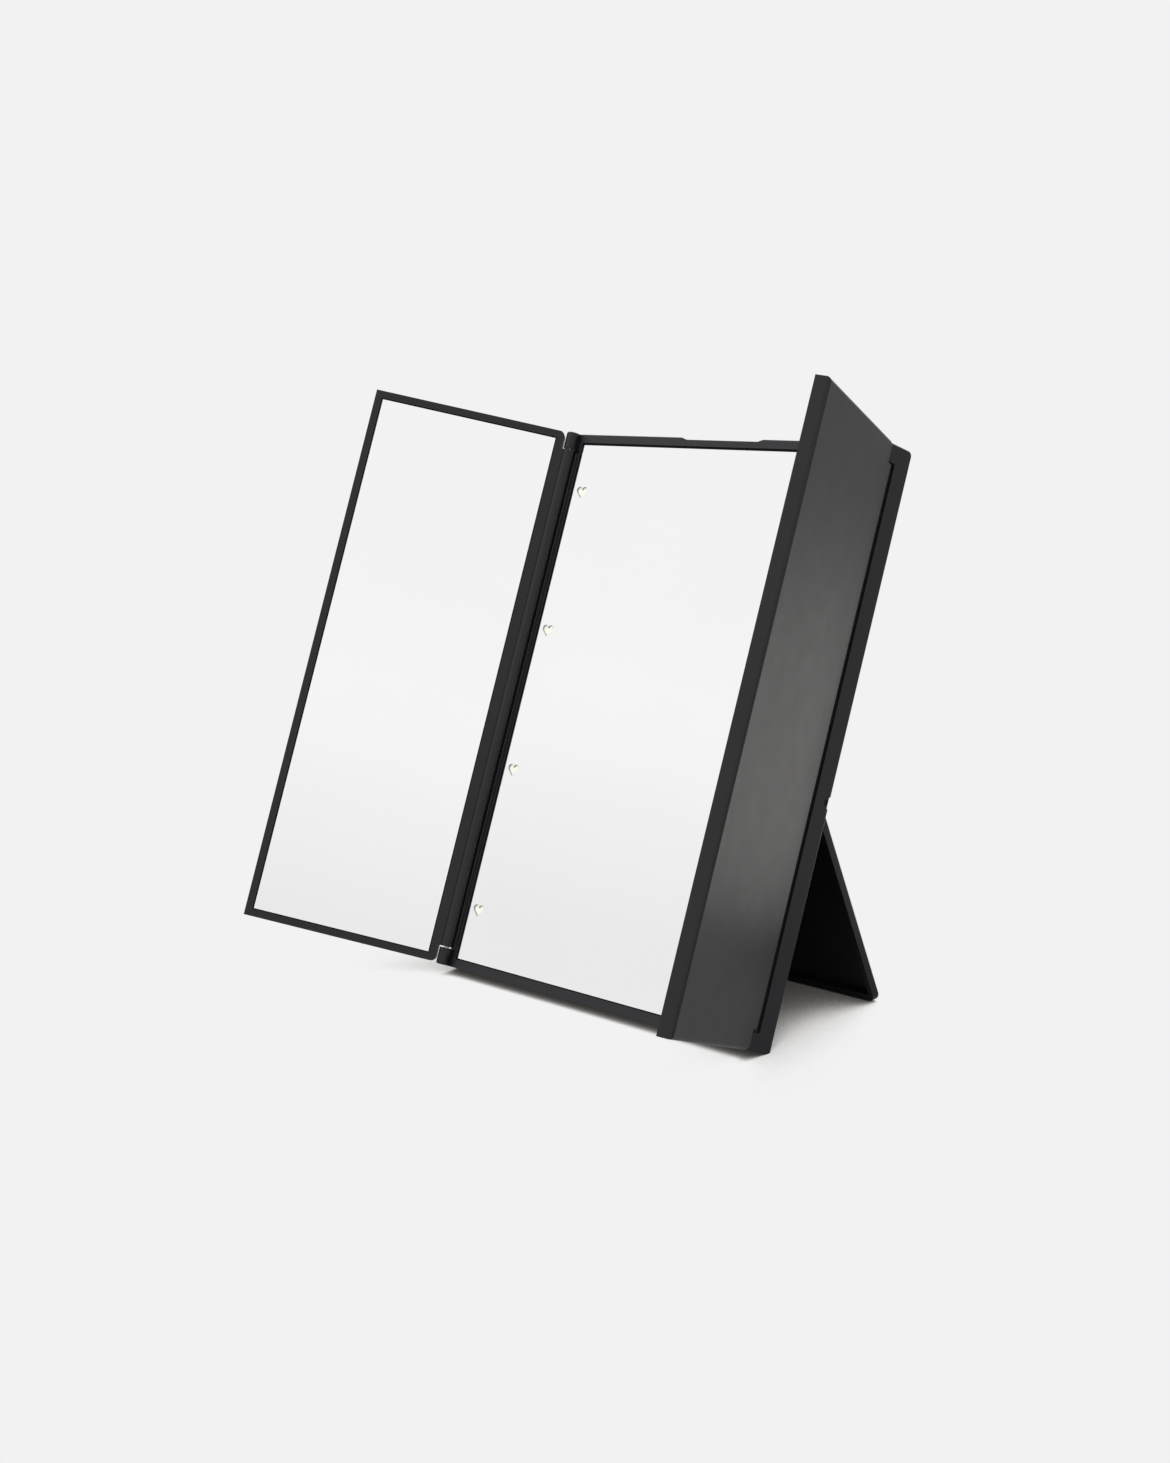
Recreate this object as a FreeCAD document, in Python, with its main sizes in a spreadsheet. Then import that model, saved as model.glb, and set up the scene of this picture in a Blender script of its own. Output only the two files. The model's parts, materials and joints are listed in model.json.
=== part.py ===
import FreeCAD, Part
import Sketcher
import math
import os

# Tri-fold table mirror with lights: a shallow case with the centre mirror,
# two hinged door mirrors and a fold-out rear stand.
# Case axes before placing: x across the case, y up the case (0 at mid height),
# z out of the centre mirror (0 at the front of the rim).

os.makedirs("parts", exist_ok=True)
doc = FreeCAD.newDocument("trifold_mirror")

# ---------------------------------------------------------------- dimensions
sheet = doc.addObject("Spreadsheet::Sheet", "Dim")
DIMS = [
    ("case_w", 148.0), ("case_ht", 190.0), ("case_d", 9.7), ("rear_round", 1.7),
    ("rim", 3.0), ("rib_in", 67.1), ("rib_out", 68.1),
    ("wall", 1.8), ("floor_top", 2.85), ("floor_bot", 4.2),
    ("knuckle_len", 5.8), ("hinge_x", 71.7), ("hinge_z", 1.2), ("barrel_rad", 2.3),
    ("pin_dia", 1.5), ("pin_bore", 1.6), ("knuckle_bore", 1.54),
    ("notch_half", 16.6), ("notch_ramp", 2.4), ("notch_deep", 0.8),
    ("mirror_top", 0.4), ("glass", 1.5), ("glass_gap", 0.38), ("lens_drop", 0.55),
    ("heart_x", 62.1), ("heart_pitch", 49.5), ("heart_w", 5.2), ("heart_hi", 4.2),
    ("strip_half", 3.5), ("strip_len", 165.6),
    ("step_y", 13.6), ("recess_z", 6.3), ("recess_skin", 1.0), ("skin", 1.2),
    ("screw_x", 69.6), ("screw_lo", 8.0), ("screw_hi", 86.0),
    ("screw_dia", 2.0), ("head_dia", 3.6), ("head_ht", 1.1),
    ("pivot_y", 16.5), ("pivot_z", 8.2), ("pivot_dia", 2.0), ("pivot_bore", 2.12),
    ("flat_w", 1.98), ("lean", 25.0), ("stand_ang", 42.0),
    ("left_ang", 138.2), ("right_ang", 114.1),
    ("door_in", 1.0), ("door_out", 3.75), ("door_reach", 71.35), ("door_start", 2.8),
    ("door_half", 94.65), ("barrel_half", 88.7), ("door_web", 0.4),
    ("door_frame", 2.5), ("door_frame_in", 5.4), ("door_mirror", 0.6),
    ("stand_half", 70.5), ("stand_len", 74.18), ("stand_t", 3.0), ("heel", 1.9),
    ("foot_out", 0.4), ("lip", 2.0), ("foot_corner", 2.6), ("soft_edge", 0.8),
    ("door_round", 1.2), ("door_corner", 2.0),
    ("cell_dia", 20.0), ("cell_ht", 3.2), ("cell_x", 11.2), ("bay_y", 35.0),
    ("hatch_half", 26.0), ("hatch_lo", 20.3), ("hatch_hi", 50.3),
    ("switch_x", 45.0), ("switch_y", 62.0),
    ("wire_rad", 0.45),
]
VAL = dict(DIMS)
for i, (name, v) in enumerate(DIMS):
    sheet.set("A%d" % (i + 1), name)
    sheet.set("B%d" % (i + 1), str(v))
    sheet.setAlias("B%d" % (i + 1), name)
doc.recompute()


class Q:
    """A number that also carries the sheet expression it came from."""
    def __init__(self, v, s=None):
        self.v = float(v)
        self.s = s if s is not None else ("%.6f" % float(v))

    def __add__(self, o):
        o = q(o)
        return Q(self.v + o.v, "(%s + %s)" % (self.s, o.s))

    def __sub__(self, o):
        o = q(o)
        return Q(self.v - o.v, "(%s - %s)" % (self.s, o.s))

    def __mul__(self, o):
        o = q(o)
        return Q(self.v * o.v, "(%s * %s)" % (self.s, o.s))

    def __truediv__(self, o):
        o = q(o)
        return Q(self.v / o.v, "(%s / %s)" % (self.s, o.s))

    def __neg__(self):
        return Q(-self.v, "(0 - %s)" % self.s)

    __radd__ = __add__

    def __rsub__(self, o):
        return q(o) - self

    __rmul__ = __mul__


def q(x):
    return x if isinstance(x, Q) else Q(x)


def D(name):
    return Q(VAL[name], "Dim.%s" % name)


# ------------------------------------------------------------ feature helpers
def plane_of(body, role):
    for f in body.Origin.OriginFeatures:
        if f.Role == role:
            return f
    raise RuntimeError(role)


def new_body(name):
    b = doc.addObject("PartDesign::Body", name)
    b.Label = name
    return b


def sketch(body, name, offset=0.0, role="XY_Plane"):
    sk = body.newObject("Sketcher::SketchObject", name)
    sk.AttachmentSupport = (plane_of(body, role), [""])
    sk.MapMode = "FlatFace"
    off = q(offset)
    sk.AttachmentOffset = FreeCAD.Placement(FreeCAD.Vector(0, 0, off.v), FreeCAD.Rotation())
    sk.setExpression("AttachmentOffset.Base.z", off.s)
    return sk


def poly(sk, pts):
    """Closed outline; every corner coordinate follows its expression."""
    pts = [(q(a), q(b)) for a, b in pts]
    g0 = sk.GeometryCount
    n = len(pts)
    for i in range(n):
        a, b = pts[i], pts[(i + 1) % n]
        sk.addGeometry(Part.LineSegment(FreeCAD.Vector(a[0].v, a[1].v, 0),
                                        FreeCAD.Vector(b[0].v, b[1].v, 0)), False)
    for i in range(n):
        sk.addConstraint(Sketcher.Constraint("Coincident", g0 + i, 2, g0 + (i + 1) % n, 1))
    for i in range(n):
        for kind, c in (("DistanceX", pts[i][0]), ("DistanceY", pts[i][1])):
            k = sk.addConstraint(Sketcher.Constraint(kind, -1, 1, g0 + i, 1, c.v))
            sk.setExpression("Constraints[%d]" % k, c.s)


def rect(sk, x0, y0, x1, y1):
    x0, y0, x1, y1 = q(x0), q(y0), q(x1), q(y1)
    if x0.v > x1.v:
        x0, x1 = x1, x0
    if y0.v > y1.v:
        y0, y1 = y1, y0
    poly(sk, [(x0, y0), (x1, y0), (x1, y1), (x0, y1)])


def circle(sk, cx, cy, dia):
    cx, cy, dia = q(cx), q(cy), q(dia)
    g = sk.addGeometry(Part.Circle(FreeCAD.Vector(cx.v, cy.v, 0), FreeCAD.Vector(0, 0, 1), dia.v / 2), False)
    for kind, c in (("DistanceX", cx), ("DistanceY", cy)):
        k = sk.addConstraint(Sketcher.Constraint(kind, -1, 1, g, 3, c.v))
        sk.setExpression("Constraints[%d]" % k, c.s)
    k = sk.addConstraint(Sketcher.Constraint("Diameter", g, dia.v))
    sk.setExpression("Constraints[%d]" % k, dia.s)


def pad(body, sk, length, both=False):
    p = body.newObject("PartDesign::Pad", sk.Name + "_pad")
    p.Profile = sk
    length = q(length)
    p.Length = length.v
    p.setExpression("Length", length.s)
    if both:
        p.SideType = "Symmetric"
    doc.recompute()
    return p


def cut(body, sk, length, both=False):
    before = body.Shape.Volume
    p = body.newObject("PartDesign::Pocket", sk.Name + "_cut")
    p.Profile = sk
    length = q(length)
    p.Length = length.v
    p.setExpression("Length", length.s)
    if both:
        p.SideType = "Symmetric"
    doc.recompute()
    if not body.Shape.Volume < before - 1e-6:
        raise RuntimeError("cut removed nothing: " + sk.Name)
    return p


def slab(body, name, z0, z1, rects, circles=()):
    """Pad of rectangles or circles between two heights."""
    z0, z1 = q(z0), q(z1)
    sk = sketch(body, name, z0)
    for r in rects:
        rect(sk, *r)
    for c in circles:
        circle(sk, *c)
    return pad(body, sk, z1 - z0)


def well(body, name, z0, z1, rects, circles=()):
    """Pocket of rectangles or circles between two heights."""
    z0, z1 = q(z0), q(z1)
    sk = sketch(body, name, z1)
    for r in rects:
        rect(sk, *r)
    for c in circles:
        circle(sk, *c)
    return cut(body, sk, z1 - z0)


def round_edges(body, test, rad, name):
    """Fillet every edge of the tip whose end points satisfy the test."""
    tip = body.Tip
    names = []
    for i, e in enumerate(tip.Shape.Edges):
        if len(e.Vertexes) != 2:
            continue
        a, b = e.Vertexes[0].Point, e.Vertexes[1].Point
        if test(a, b):
            names.append("Edge%d" % (i + 1))
    if not names:
        raise RuntimeError("no edges for " + name)
    f = body.newObject("PartDesign::Fillet", name)
    f.Base = (tip, names)
    f.Radius = rad
    doc.recompute()
    if "Invalid" in f.State or f.Shape.isNull() or not f.Shape.isValid():
        raise RuntimeError("fillet failed: " + name)
    return f


def near(x, y, tol=0.02):
    return abs(x - y) < tol


def both_at(axis1, val1, axis2=None, val2=None):
    def t(a, b):
        ok = near(getattr(a, axis1), val1) and near(getattr(b, axis1), val1)
        if axis2 is not None:
            ok = ok and near(getattr(a, axis2), val2) and near(getattr(b, axis2), val2)
        return ok
    return t


# ---------------------------------------------------------------- placements
LEAN = math.radians(VAL["lean"])
PHI = 90.0 - VAL["lean"]
half_h = VAL["case_ht"] / 2
flat_leg = VAL["flat_w"] * math.tan(LEAN)
mid_flat = FreeCAD.Vector(0, -half_h + flat_leg / 2, -VAL["case_d"] + VAL["flat_w"] / 2)
R0 = FreeCAD.Rotation(FreeCAD.Vector(1, 0, 0), PHI)
CASE = FreeCAD.Placement(-R0.multVec(mid_flat), R0)


def turned(x, y, z, axis, angle):
    return CASE.multiply(FreeCAD.Placement(FreeCAD.Vector(x, y, z), FreeCAD.Rotation(axis, angle)))


P_LEFT = turned(-VAL["hinge_x"], 0, VAL["hinge_z"], FreeCAD.Vector(0, 1, 0), -VAL["left_ang"])
P_RIGHT = turned(VAL["hinge_x"], 0, VAL["hinge_z"], FreeCAD.Vector(0, 1, 0), VAL["right_ang"])
P_STAND = turned(0, -VAL["pivot_y"], -VAL["pivot_z"], FreeCAD.Vector(1, 0, 0), VAL["stand_ang"])

NODES = []


def keep(obj, name, place):
    obj.Label = name
    obj.Placement = place
    NODES.append((name, obj))


W2 = D("case_w") / 2
H2 = D("case_ht") / 2
BACK = -D("case_d")
FT = -D("floor_top")
FB = -D("floor_bot")

# ------------------------------------------------------------------ case shell
b = new_body("base_frame")
slab(b, "shell_block", BACK, FT, [(-W2, -H2, W2, H2)])
round_edges(b, both_at("y", half_h, "z", -VAL["case_d"]), VAL["rear_round"], "rear_top_round")
# front rim and the ribs beside the mirror
sk = sketch(b, "front_rim", FT)
rect(sk, -D("rib_out"), -H2, D("rib_out"), H2)
rect(sk, -D("rib_in"), -(H2 - D("rim")), D("rib_in"), H2 - D("rim"))
pad(b, sk, D("floor_top"))
# blocks that join the rim to the knuckles
slab(b, "corner_blocks", FT, 0, [
    (sx_ * D("rib_in"), sy_ * (H2 - D("knuckle_len")), sx_ * (D("hinge_x") - 1.0), sy_ * H2)
    for sx_ in (-1, 1) for sy_ in (-1, 1)])
# hinge knuckles: a post and a round head over the full height, then opened between
sk = sketch(b, "knuckle_posts", 0, "XZ_Plane")
rect(sk, D("hinge_x") - D("barrel_rad"), FT - 0.5, D("hinge_x") + D("barrel_rad"), D("hinge_z"))
rect(sk, -(D("hinge_x") - D("barrel_rad")), FT - 0.5, -(D("hinge_x") + D("barrel_rad")), D("hinge_z"))
pad(b, sk, D("case_ht"), True)
sk = sketch(b, "knuckle_heads", 0, "XZ_Plane")
circle(sk, D("hinge_x"), D("hinge_z"), D("barrel_rad") * 2)
circle(sk, -D("hinge_x"), D("hinge_z"), D("barrel_rad") * 2)
pad(b, sk, D("case_ht"), True)
kh = H2 - D("knuckle_len")
well(b, "barrel_channel", FT, D("hinge_z") + 4,
     [(D("rib_out"), -kh, W2 + 1, kh), (-D("rib_out"), -kh, -W2 - 1, kh)])
round_edges(b, lambda a, c: near(abs(a.y), half_h) and near(abs(c.y), half_h) and a.z > 0.05 and c.z > 0.05
            and abs(a.x) > VAL["rib_out"] and abs(c.x) > VAL["rib_out"], 0.6, "knuckle_end_round")
# hollow behind the floor
well(b, "rear_hollow", BACK, FB, [(-W2 + D("wall"), -H2 + D("wall"), W2 - D("wall"), H2 - D("wall"))])
# light slots behind the mirror edges
sl = D("strip_half") + 0.15
well(b, "light_slots", FB, FT,
     [(D("heart_x") - sl, -D("strip_len") / 2 - 0.2, D("heart_x") + sl, D("strip_len") / 2 + 0.2),
      (-D("heart_x") - sl, -D("strip_len") / 2 - 0.2, -D("heart_x") + sl, D("strip_len") / 2 + 0.2)])
# screw bosses
SCREWS = [(D("screw_x"), -D("screw_lo")), (-D("screw_x"), -D("screw_lo")),
          (D("screw_x"), D("screw_hi")), (-D("screw_x"), D("screw_hi"))]
slab(b, "bosses", -7.2, FB, [], [(x, y, 4.6) for x, y in SCREWS])
well(b, "boss_bores", -7.2, -3.55, [], [(x, y, D("screw_dia") + 0.04) for x, y in SCREWS])
# finger notch in the top edge
sk = sketch(b, "finger_notch", 0.5)
nh, nr, nd = D("notch_half"), D("notch_ramp"), D("notch_deep")
poly(sk, [(-nh, H2 - nd), (nh, H2 - nd), (nh + nr, H2), (nh + nr, H2 + 1), (-nh - nr, H2 + 1), (-nh - nr, H2)])
cut(b, sk, 4.5)
# flat that stands on the table
tl = math.tan(LEAN)
sk = sketch(b, "standing_flat", 0, "YZ_Plane")
fw = D("flat_w")
poly(sk, [(-H2 - 2 * tl, BACK + fw + 2), (-H2 + fw * tl + 2 * tl, BACK - 2),
          (-H2 - 3, BACK - 2), (-H2 - 3, BACK + fw + 2)])
cut(b, sk, D("case_w") + 4, True)
# seats for the stand pins, and the relief seen on the outside of each wall
sk = sketch(b, "pivot_bores", 0, "YZ_Plane")
circle(sk, -D("pivot_y"), -D("pivot_z"), D("pivot_bore"))
cut(b, sk, D("case_w") + 4, True)
py, pz = -D("pivot_y"), -D("pivot_z")
for side, off in (("right", W2 - 0.8), ("left", -W2)):
    sk = sketch(b, "pivot_relief_" + side, off, "YZ_Plane")
    poly(sk, [(py - 1.85, BACK - 0.4), (py + 1.85, BACK - 0.4), (py + 1.85, pz + 0.2), (py + 1.3, pz + 0.95),
              (py + 0.6, pz + 1.2), (py - 0.6, pz + 1.2), (py - 1.3, pz + 0.95), (py - 1.85, pz + 0.2)])
    before = b.Shape.Volume
    p = b.newObject("PartDesign::Pocket", "pivot_relief_cut_" + side)
    p.Profile = sk
    p.Length = 0.8
    p.Reversed = True
    doc.recompute()
    if not b.Shape.Volume < before - 1e-6:
        raise RuntimeError("relief removed nothing")
# slots for the cover hooks
well(b, "hook_slots", -6.45, -5.15, [(29.8, -H2 + D("wall") - 1.1, 40.2, -H2 + D("wall") + 0.2),
                                     (-40.2, -H2 + D("wall") - 1.1, -29.8, -H2 + D("wall") + 0.2)])
# pin bores through the lower knuckles, blind in the upper ones
sk = sketch(b, "knuckle_bores", 0, "XZ_Plane")
circle(sk, D("hinge_x"), D("hinge_z"), D("knuckle_bore"))
circle(sk, -D("hinge_x"), D("hinge_z"), D("knuckle_bore"))
cut(b, sk, D("case_ht") - 2.6, True)
round_edges(b, both_at("y", half_h, "z", 0.0), 0.35, "rim_top_round")
keep(b, "base_frame", CASE)

# ------------------------------------------------------------------ back cover
b = new_body("back_cover")
cx = W2 - D("wall") - 0.2
cy = H2 - D("wall") - 0.2
RZ = -D("recess_z")
slab(b, "upper_skin", BACK, BACK + D("skin"), [(-cx, -D("step_y"), cx, cy)])
slab(b, "step_wall", BACK, RZ + D("recess_skin"), [(-cx, -D("step_y"), cx, -D("step_y") + D("skin"))])
slab(b, "recess_floor", RZ, RZ + D("recess_skin"), [(-cx, -cy, cx, -D("step_y") + D("skin"))])
slab(b, "hooks", RZ, RZ + D("recess_skin"), [(30, -cy - 1.0, 40, -cy + 1), (-40, -cy - 1.0, -30, -cy + 1)])
slab(b, "cover_bosses", BACK + 0.4, -7.25, [], [(x, y, 4.7) for x, y in SCREWS])
well(b, "screw_holes", BACK - 0.1, -7.0, [], [(x, y, 2.4) for x, y in SCREWS])
well(b, "head_wells", BACK - 0.1, BACK + 1.35, [], [(x, y, 4.1) for x, y in SCREWS])
hl, hh = D("hatch_lo"), D("hatch_hi")
well(b, "hatch_opening", BACK - 0.1, BACK + D("skin") + 0.1,
     [(-D("hatch_half") - 0.3, hl - 0.3, D("hatch_half") + 0.3, hh + 0.3)])
well(b, "switch_slot", BACK - 0.1, BACK + D("skin") + 0.1,
     [(D("switch_x") - 3.6, D("switch_y") - 1.6, D("switch_x") + 3.6, D("switch_y") + 1.6)])
# side blocks that carry the hatch pins
slab(b, "hatch_blocks", BACK + 0.6, BACK + 2.0,
     [(D("hatch_half") + 0.3, hl - 0.6, D("hatch_half") + 2.6, hl + 3),
      (-D("hatch_half") - 2.6, hl - 0.6, -D("hatch_half") - 0.3, hl + 3)])
sk = sketch(b, "hatch_pin_bores", 0, "YZ_Plane")
circle(sk, hl + 0.6, BACK + 0.6, 0.72)
cut(b, sk, 2 * (D("hatch_half") + 1.7), True)
# thumb scoop beside the hatch
well(b, "hatch_scoop", BACK - 0.1, BACK + 0.6, [(-6, hh + 0.1, 6, hh + 3.2)])
keep(b, "back_cover", CASE)

# ---------------------------------------------------------------- centre mirror
def heart_pts(cxv, cyv, w, hi, n=28):
    """Outline points of a heart centred on its box."""
    raw = []
    for i in range(n):
        t = 2 * math.pi * i / n
        raw.append((16 * math.sin(t) ** 3,
                    13 * math.cos(t) - 5 * math.cos(2 * t) - 2 * math.cos(3 * t) - math.cos(4 * t)))
    x0, x1 = min(p[0] for p in raw), max(p[0] for p in raw)
    y0, y1 = min(p[1] for p in raw), max(p[1] for p in raw)
    return [(cxv + (p[0] - (x0 + x1) / 2) * w / (x1 - x0), cyv + (p[1] - (y0 + y1) / 2) * hi / (y1 - y0)) for p in raw]


def heart_face(cxv, cyv, w, hi, z):
    pts = [FreeCAD.Vector(a, c, z) for a, c in heart_pts(cxv, cyv, w, hi)]
    n = len(pts)
    # two smooth halves that meet in the cleft (index 0) and the point (index n/2)
    s1 = Part.BSplineCurve()
    s1.interpolate(pts[0:n // 2 + 1])
    s2 = Part.BSplineCurve()
    s2.interpolate(pts[n // 2:] + [pts[0]])
    wire = Part.Wire([s1.toShape(), s2.toShape()])
    return Part.Face(wire)


def sval(name):
    return float(sheet.get(name))


heart_y = [(1.5 - i) * sval("heart_pitch") for i in range(4)]
hw, hhh, hx = sval("heart_w"), sval("heart_hi"), sval("heart_x")

b = new_body("centre_mirror_blank")
slab(b, "glass_sheet", -D("mirror_top") - D("glass"), -D("mirror_top"),
     [(-D("rib_in") + D("glass_gap"), -H2 + D("rim") + D("glass_gap"), D("rib_in") - D("glass_gap"), H2 - D("rim") - D("glass_gap"))])
glass = b.Shape.copy()
tools = []
for sx in (-1, 1):
    for yy in heart_y:
        tools.append(heart_face(sx * hx, yy, hw, hhh, -3.5).extrude(FreeCAD.Vector(0, 0, 3.5)))
glass = glass.cut(Part.makeCompound(tools))
f = doc.addObject("Part::Feature", "centre_mirror")
f.Shape = glass.Solids[0]
keep(f, "centre_mirror", CASE)

b = new_body("centre_mirror_tape")
slab(b, "tape", FT + 0.01, -D("mirror_top") - D("glass") - 0.01,
     [(-D("heart_x") + D("strip_half") + 1.5, -H2 + 6, D("heart_x") - D("strip_half") - 1.5, H2 - 6)])
keep(b, "centre_mirror_tape", CASE)

# ---------------------------------------------- light strips, boards and lamps
for side, sx in (("left", -1.0), ("right", 1.0)):
    x0 = sx * sval("heart_x")
    half = sval("strip_half")
    sh = Part.makeBox(2 * half, sval("strip_len"), 0.65, FreeCAD.Vector(x0 - half, -sval("strip_len") / 2, -3.55))
    parts = []
    for yy in heart_y:
        parts.append(heart_face(x0, yy, hw - 0.12, hhh - 0.12, -2.95).extrude(
            FreeCAD.Vector(0, 0, 2.95 - sval("mirror_top") - sval("lens_drop"))))
    sh = sh.fuse(parts).removeSplitter()
    f = doc.addObject("Part::Feature", "heart_lens_" + side)
    f.Shape = sh.Solids[0]
    keep(f, "heart_lens_" + side, CASE)

    b = new_body("led_board_" + side)
    lb = D("heart_x") * sx
    slab(b, "board_" + side, FB - 0.8, FB, [(lb - 4.7, -86, lb + 4.7, 86)])
    keep(b, "led_board_" + side, CASE)

    lamps = []
    for yy in heart_y:
        body_ = Part.makeBox(3.5, 2.8, 0.5, FreeCAD.Vector(x0 - 1.75, yy - 1.4, -sval("floor_bot")))
        dish = Part.makeCylinder(1.1, 0.25, FreeCAD.Vector(x0, yy, -sval("floor_bot") + 0.35))
        lamps.append(body_.cut(dish))
    f = doc.addObject("Part::Feature", "leds_" + side)
    f.Shape = Part.makeCompound(lamps)
    keep(f, "leds_" + side, CASE)

# ------------------------------------------------------------- battery and power
b = new_body("battery_holder")
by = D("bay_y")
slab(b, "holder_block", -8.2, FB - 0.05, [(-22.9, by - 11.6, 22.9, by + 11.6)])
well(b, "cell_wells", -8.3, -4.75, [], [(D("cell_x"), by, D("cell_dia") + 0.5), (-D("cell_x"), by, D("cell_dia") + 0.5)])
well(b, "contact_slots", -5.1, -4.7,
     [(D("cell_x") - 2.3, by + 8, D("cell_x") + 2.3, by + 12), (-D("cell_x") - 2.3, by + 8, -D("cell_x") + 2.3, by + 12)])
keep(b, "battery_holder", CASE)

cells = []
for sx in (-1, 1):
    c = Part.makeCylinder(sval("cell_dia") / 2, sval("cell_ht"),
                          FreeCAD.Vector(sx * sval("cell_x"), sval("bay_y"), -5.08 - sval("cell_ht")))
    c = c.makeFillet(0.3, [e for e in c.Edges if len(e.Vertexes) == 1 or e.Curve.TypeId == "Part::GeomCircle"])
    cells.append(c)
f = doc.addObject("Part::Feature", "coin_cells")
f.Shape = Part.makeCompound(cells)
keep(f, "coin_cells", CASE)

for name, sx in (("battery_contact_plus", -1.0), ("battery_contact_minus", 1.0)):
    b = new_body(name)
    c0 = D("cell_x") * sx
    slab(b, name + "_leaf", -5.0, -4.78, [(c0 - 2, by - 6, c0 + 2, by + 13.8)])
    keep(b, name, CASE)

b = new_body("battery_hatch")
slab(b, "hatch_plate", BACK, BACK + D("skin"), [(-D("hatch_half"), hl, D("hatch_half"), hh)])
round_edges(b, lambda a, c: near(a.y, VAL["hatch_lo"]) and near(c.y, VAL["hatch_lo"]) and abs(a.x - c.x) > 10, 0.59, "hatch_hinge_round")
slab(b, "hatch_latch", BACK + D("skin") - 0.2, BACK + D("skin") + 1.0, [(-3, hh - 1.4, 3, hh - 0.4)])
well(b, "hatch_grip", BACK - 0.1, BACK + 0.3, [(-8, hh - 3.2, 8, hh - 2.4), (-8, hh - 4.8, 8, hh - 4.0), (-8, hh - 6.4, 8, hh - 5.6)])
sk = sketch(b, "hatch_pins", 0, "YZ_Plane")
circle(sk, hl + 0.6, BACK + 0.6, 0.6)
pad(b, sk, 2 * (D("hatch_half") + 1.4), True)
keep(b, "battery_hatch", CASE)

b = new_body("battery_bridge")
slab(b, "bridge_plate", -8.48, -8.32, [(-18, by - 4, 18, by + 4)])
keep(b, "battery_bridge", CASE)

sxq, syq = D("switch_x"), D("switch_y")
b = new_body("control_board")
slab(b, "control_sheet", FB - 0.85, FB - 0.05, [(sxq - 8, syq - 8, sxq + 8, syq + 8)])
keep(b, "control_board", CASE)

b = new_body("switch_body")
slab(b, "switch_case", -8.25, FB - 0.85, [(sxq - 4.3, syq - 1.9, sxq + 4.3, syq + 1.9)])
well(b, "switch_track", -8.35, -6.6, [(sxq - 2.0, syq - 0.9, sxq + 2.0, syq + 0.9)])
keep(b, "switch_body", CASE)

b = new_body("switch_knob")
slab(b, "knob_cap", -9.6, -8.4, [(sxq - 2.5, syq - 1.3, sxq + 0.5, syq + 1.3)])
slab(b, "knob_stem", -8.5, -6.75, [(sxq - 1.7, syq - 0.7, sxq - 0.3, syq + 0.7)])
well(b, "knob_grooves", -9.7, -9.3, [(sxq - 2.0, syq - 1.4, sxq - 1.6, syq + 1.4), (sxq - 1.2, syq - 1.4, sxq - 0.8, syq + 1.4),
                                     (sxq - 0.4, syq - 1.4, sxq, syq + 1.4)])
keep(b, "switch_knob", CASE)

chips = []
for dx, dy in ((-5.5, 5.0), (-1.5, 5.0), (2.5, 5.0), (4.5, -5.5)):
    chips.append(Part.makeBox(2.0, 1.25, 0.5, FreeCAD.Vector(sval("switch_x") + dx - 1, sval("switch_y") + dy - 0.6, -sval("floor_bot") - 1.35)))
f = doc.addObject("Part::Feature", "resistors")
f.Shape = Part.makeCompound(chips)
keep(f, "resistors", CASE)


def wire_run(pts, rad):
    out = None
    for i in range(len(pts) - 1):
        a, c = FreeCAD.Vector(*pts[i]), FreeCAD.Vector(*pts[i + 1])
        cyl = Part.makeCylinder(rad, (c - a).Length, a, c - a)
        out = cyl if out is None else out.fuse(cyl)
        if i > 0:
            out = out.fuse(Part.makeSphere(rad, a))
    return out


wr = sval("wire_rad")
cxv, swx, swy, hy0 = sval("cell_x"), sval("switch_x"), sval("switch_y"), sval("bay_y")
red = [wire_run([(-cxv, hy0 + 13.4, -5.5), (-cxv, hy0 + 17.5, -5.5), (swx - 12, swy - 4.5, -5.5), (swx - 6.6, swy - 4.5, -5.55)], wr),
       wire_run([(swx - 6.6, swy - 1.5, -5.55), (-sval("heart_x") + 3, swy - 1.5, -5.5)], wr),
       wire_run([(swx + 6.6, swy - 1.5, -5.55), (sval("heart_x") - 3, swy - 1.5, -5.5)], wr)]
black = [wire_run([(cxv, hy0 + 13.4, -5.5), (cxv, hy0 + 13.4, -6.8), (swx - 5.8, swy - 6.6, -6.8), (swx - 5.8, swy - 6.6, -5.55)], wr),
         wire_run([(swx - 6.6, swy + 2.6, -5.55), (-sval("heart_x") + 3, swy + 2.6, -5.5)], wr),
         wire_run([(swx + 6.6, swy + 2.6, -5.55), (sval("heart_x") - 3, swy + 2.6, -5.5)], wr)]
for name, runs in (("wires_red", red), ("wires_black", black)):
    f = doc.addObject("Part::Feature", name)
    f.Shape = Part.makeCompound(runs)
    keep(f, name, CASE)

# ------------------------------------------------------------- screws and pins
scr = []
for x, y in SCREWS:
    zh = -VAL["case_d"] + 1.3
    shank = Part.makeCylinder(sval("screw_dia") / 2, 4.4, FreeCAD.Vector(x.v, y.v, zh))
    head = Part.makeCylinder(sval("head_dia") / 2, sval("head_ht"), FreeCAD.Vector(x.v, y.v, zh - sval("head_ht")))
    s = head.fuse(shank).removeSplitter()
    slot1 = Part.makeBox(2.2, 0.45, 0.5, FreeCAD.Vector(x.v - 1.1, y.v - 0.225, zh - sval("head_ht")))
    slot2 = Part.makeBox(0.45, 2.2, 0.5, FreeCAD.Vector(x.v - 0.225, y.v - 1.1, zh - sval("head_ht")))
    scr.append(s.cut(slot1).cut(slot2).Solids[0])
f = doc.addObject("Part::Feature", "case_screws")
f.Shape = Part.makeCompound(scr)
keep(f, "case_screws", CASE)

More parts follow.
